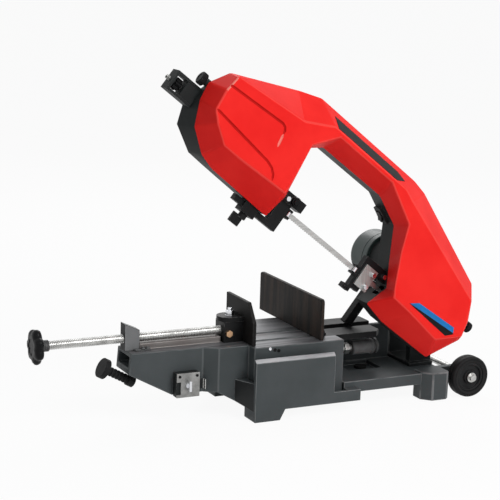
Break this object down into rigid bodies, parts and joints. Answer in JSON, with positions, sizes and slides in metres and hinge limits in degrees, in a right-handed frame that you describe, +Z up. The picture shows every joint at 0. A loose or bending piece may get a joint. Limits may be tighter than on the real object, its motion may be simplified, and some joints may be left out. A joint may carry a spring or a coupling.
{
  "type": "swing-head band saw",
  "caption": "Floor-standing swing-head band saw with a red wheel cover, grey cast base, screw vise, blade guides and transport wheels.",
  "frame": {"origin": "lower front left corner of the base's front foot, on the floor", "axes": "+X from the vise knob toward the transport wheels, +Y away from the operator, +Z up"},
  "size_m": [1.114, 0.4268, 0.7961],
  "materials": {
    "red_cover": "glossy red moulded cover",
    "black_casting": "black satin paint on cast aluminium",
    "grey_casting": "dark grey hammered paint on a casting",
    "black_steel": "black oxide steel",
    "jaw_steel": "dark mill-scaled steel plate",
    "zinc_steel": "zinc-plated turned steel",
    "band_steel": "bright spring-steel band",
    "bright_steel": "polished hardened steel",
    "bronze": "sintered bronze",
    "black_plastic": "black moulded plastic",
    "motor_paint": "dark green-grey motor enamel",
    "wheel_iron": "machined cast wheel",
    "tyre_rubber": "solid black rubber",
    "hub_plastic": "dark moulded hub",
    "pad_rubber": "black rubber",
    "label_black": "bare black label strip",
    "label_blue": "bare blue and black label"
  },
  "bodies": {
    "base": {"bed_casting": "grey_casting", "table_plate_front": "black_steel", "table_plate_rear": "black_steel", "front_box": "grey_casting", "rear_deck": "grey_casting", "front_right_foot": "grey_casting", "rear_right_foot": "grey_casting", "stop_pad": "pad_rubber", "balance_tube": "black_plastic", "balance_rod": "zinc_steel", "pivot_bracket": "black_casting", "pivot_bush_front": "bronze", "pivot_bush_rear": "bronze", "fixed_jaw": "jaw_steel", "fixed_jaw_bracket": "black_steel", "screw_bracket": "black_steel", "stop_box": "black_casting", "stop_plate": "zinc_steel", "lift_handle": "black_plastic", "axle": "zinc_steel"},
    "front_wheel": {"wheel_tyre_front": "tyre_rubber", "wheel_hub_front": "hub_plastic"},
    "rear_wheel": {"wheel_tyre_rear": "tyre_rubber", "wheel_hub_rear": "hub_plastic"},
    "vise_jaw": {"moving_jaw": "jaw_steel", "jaw_block": "black_steel"},
    "vise_screw": {"vise_screw": "zinc_steel", "vise_knob": "black_plastic"},
    "head": {"head_frame": "black_casting", "tension_bracket": "black_steel", "gear_case": "black_casting", "drive_bearing": "bright_steel", "motor_body": "motor_paint", "stop_leg": "black_steel", "pivot_shaft": "zinc_steel", "blade": "band_steel", "right_guide": "black_steel", "guide_plate": "zinc_steel", "guide_clamp": "black_steel"},
    "cover": {"front_cover": "red_cover", "drive_label": "label_blue", "arch_label": "label_black"},
    "drive_wheel": {"drive_wheel": "wheel_iron", "drive_shaft": "zinc_steel"},
    "idler_carriage": {"tension_block": "black_casting", "tension_screw": "zinc_steel", "idler_axle": "zinc_steel"},
    "idler_wheel": {"idler_wheel": "wheel_iron"},
    "tension_nut": {"tension_nut": "black_plastic"},
    "left_guide": {"left_guide": "black_steel"},
    "guide_lever": {"guide_lever": "black_steel"},
    "clamp_lever": {"clamp_lever": "black_steel"},
    "left_cover_knob": {"cover_knob_left": "black_plastic"},
    "right_cover_knob": {"cover_knob_right": "black_plastic"},
    "switch_rocker": {"switch_rocker": "black_plastic"},
    "roller_left_front": {"roller_left_front": "bright_steel"},
    "roller_left_back": {"roller_left_back": "bright_steel"},
    "roller_right_front": {"roller_right_front": "bright_steel"},
    "roller_right_back": {"roller_right_back": "bright_steel"}
  },
  "joints": [
    {"name": "head_swing", "type": "hinge", "parent": "base", "child": "head", "pos_m": [0.491, 0.15, 0.184], "axis": [0, 1, 0], "range_deg": [-38, 12]},
    {"name": "cover_pull", "type": "slide", "parent": "head", "child": "cover", "axis": [0, -1, 0], "range_m": [0, 0.12]},
    {"name": "vise_travel", "type": "slide", "parent": "base", "child": "vise_jaw", "axis": [1, 0, 0], "range_m": [0, 0.155]},
    {"name": "vise_turn", "type": "hinge", "parent": "vise_jaw", "child": "vise_screw", "pos_m": [-0.487, 0.12, 0.192], "axis": [1, 0, 0], "range_deg": [0, 13960]},
    {"name": "front_wheel_spin", "type": "hinge", "parent": "base", "child": "front_wheel", "pos_m": [0.577, 0.15, 0.05], "axis": [0, 1, 0], "continuous": true},
    {"name": "rear_wheel_spin", "type": "hinge", "parent": "base", "child": "rear_wheel", "pos_m": [0.577, 0.15, 0.05], "axis": [0, 1, 0], "continuous": true},
    {"name": "drive_spin", "type": "hinge", "parent": "head", "child": "drive_wheel", "pos_m": [0.42766, 0.021, 0.31083], "axis": [0, 1, 0], "continuous": true},
    {"name": "idler_spin", "type": "hinge", "parent": "idler_carriage", "child": "idler_wheel", "pos_m": [-0.01993, 0.021, 0.66053], "axis": [0, 1, 0], "continuous": true},
    {"name": "idler_slide", "type": "slide", "parent": "head", "child": "idler_carriage", "axis": [0.788, 0, -0.6157], "range_m": [0, 0.012]},
    {"name": "tension_turn", "type": "hinge", "parent": "head", "child": "tension_nut", "pos_m": [-0.19373, 0.0418, 0.76586], "axis": [-0.788, 0, 0.6157], "range_deg": [0, 2890]},
    {"name": "guide_slide", "type": "slide", "parent": "head", "child": "left_guide", "axis": [0.788, 0, -0.6157], "range_m": [0, 0.06]},
    {"name": "guide_lever_turn", "type": "hinge", "parent": "head", "child": "guide_lever", "pos_m": [-0.03336, 0.021, 0.47896], "axis": [0.6157, 0, 0.788], "range_deg": [-60, 60]},
    {"name": "clamp_lever_turn", "type": "hinge", "parent": "head", "child": "clamp_lever", "pos_m": [0.491, 0.15, 0.184], "axis": [0, 1, 0], "range_deg": [-40, 40]},
    {"name": "left_cover_knob_turn", "type": "hinge", "parent": "head", "child": "left_cover_knob", "pos_m": [-0.13413, 0.019, 0.77132], "axis": [0.788, 0, -0.6157], "range_deg": [0, 1080]},
    {"name": "right_cover_knob_turn", "type": "hinge", "parent": "head", "child": "right_cover_knob", "pos_m": [0.5618, 0.019, 0.17684], "axis": [-0.788, 0, 0.6157], "range_deg": [0, 1080]},
    {"name": "switch_rock", "type": "hinge", "parent": "head", "child": "switch_rocker", "pos_m": [0.32173, 0.0333, 0.45268], "axis": [0, 1, 0], "range_deg": [-20, 0]},
    {"name": "roller_left_front_spin", "type": "hinge", "parent": "left_guide", "child": "roller_left_front", "pos_m": [0.07457, 0.01575, 0.47255], "axis": [0.6157, 0, 0.788], "continuous": true},
    {"name": "roller_left_back_spin", "type": "hinge", "parent": "left_guide", "child": "roller_left_back", "pos_m": [0.07457, 0.02625, 0.47255], "axis": [0.6157, 0, 0.788], "continuous": true},
    {"name": "roller_right_front_spin", "type": "hinge", "parent": "head", "child": "roller_right_front", "pos_m": [0.25156, 0.01575, 0.33427], "axis": [0.6157, 0, 0.788], "continuous": true},
    {"name": "roller_right_back_spin", "type": "hinge", "parent": "head", "child": "roller_right_back", "pos_m": [0.25156, 0.02625, 0.33427], "axis": [0.6157, 0, 0.788], "continuous": true}
  ],
  "couplings": [
    {"joint": "vise_turn", "follows": "vise_travel", "rad_per_m": 1570.8},
    {"joint": "tension_turn", "follows": "idler_slide", "rad_per_m": 4188.8},
    {"joint": "idler_spin", "follows": "drive_spin", "ratio": 1},
    {"joint": "roller_left_front_spin", "follows": "drive_spin", "ratio": 18.74},
    {"joint": "roller_left_back_spin", "follows": "drive_spin", "ratio": -18.74},
    {"joint": "roller_right_front_spin", "follows": "drive_spin", "ratio": 18.74},
    {"joint": "roller_right_back_spin", "follows": "drive_spin", "ratio": -18.74}
  ]
}
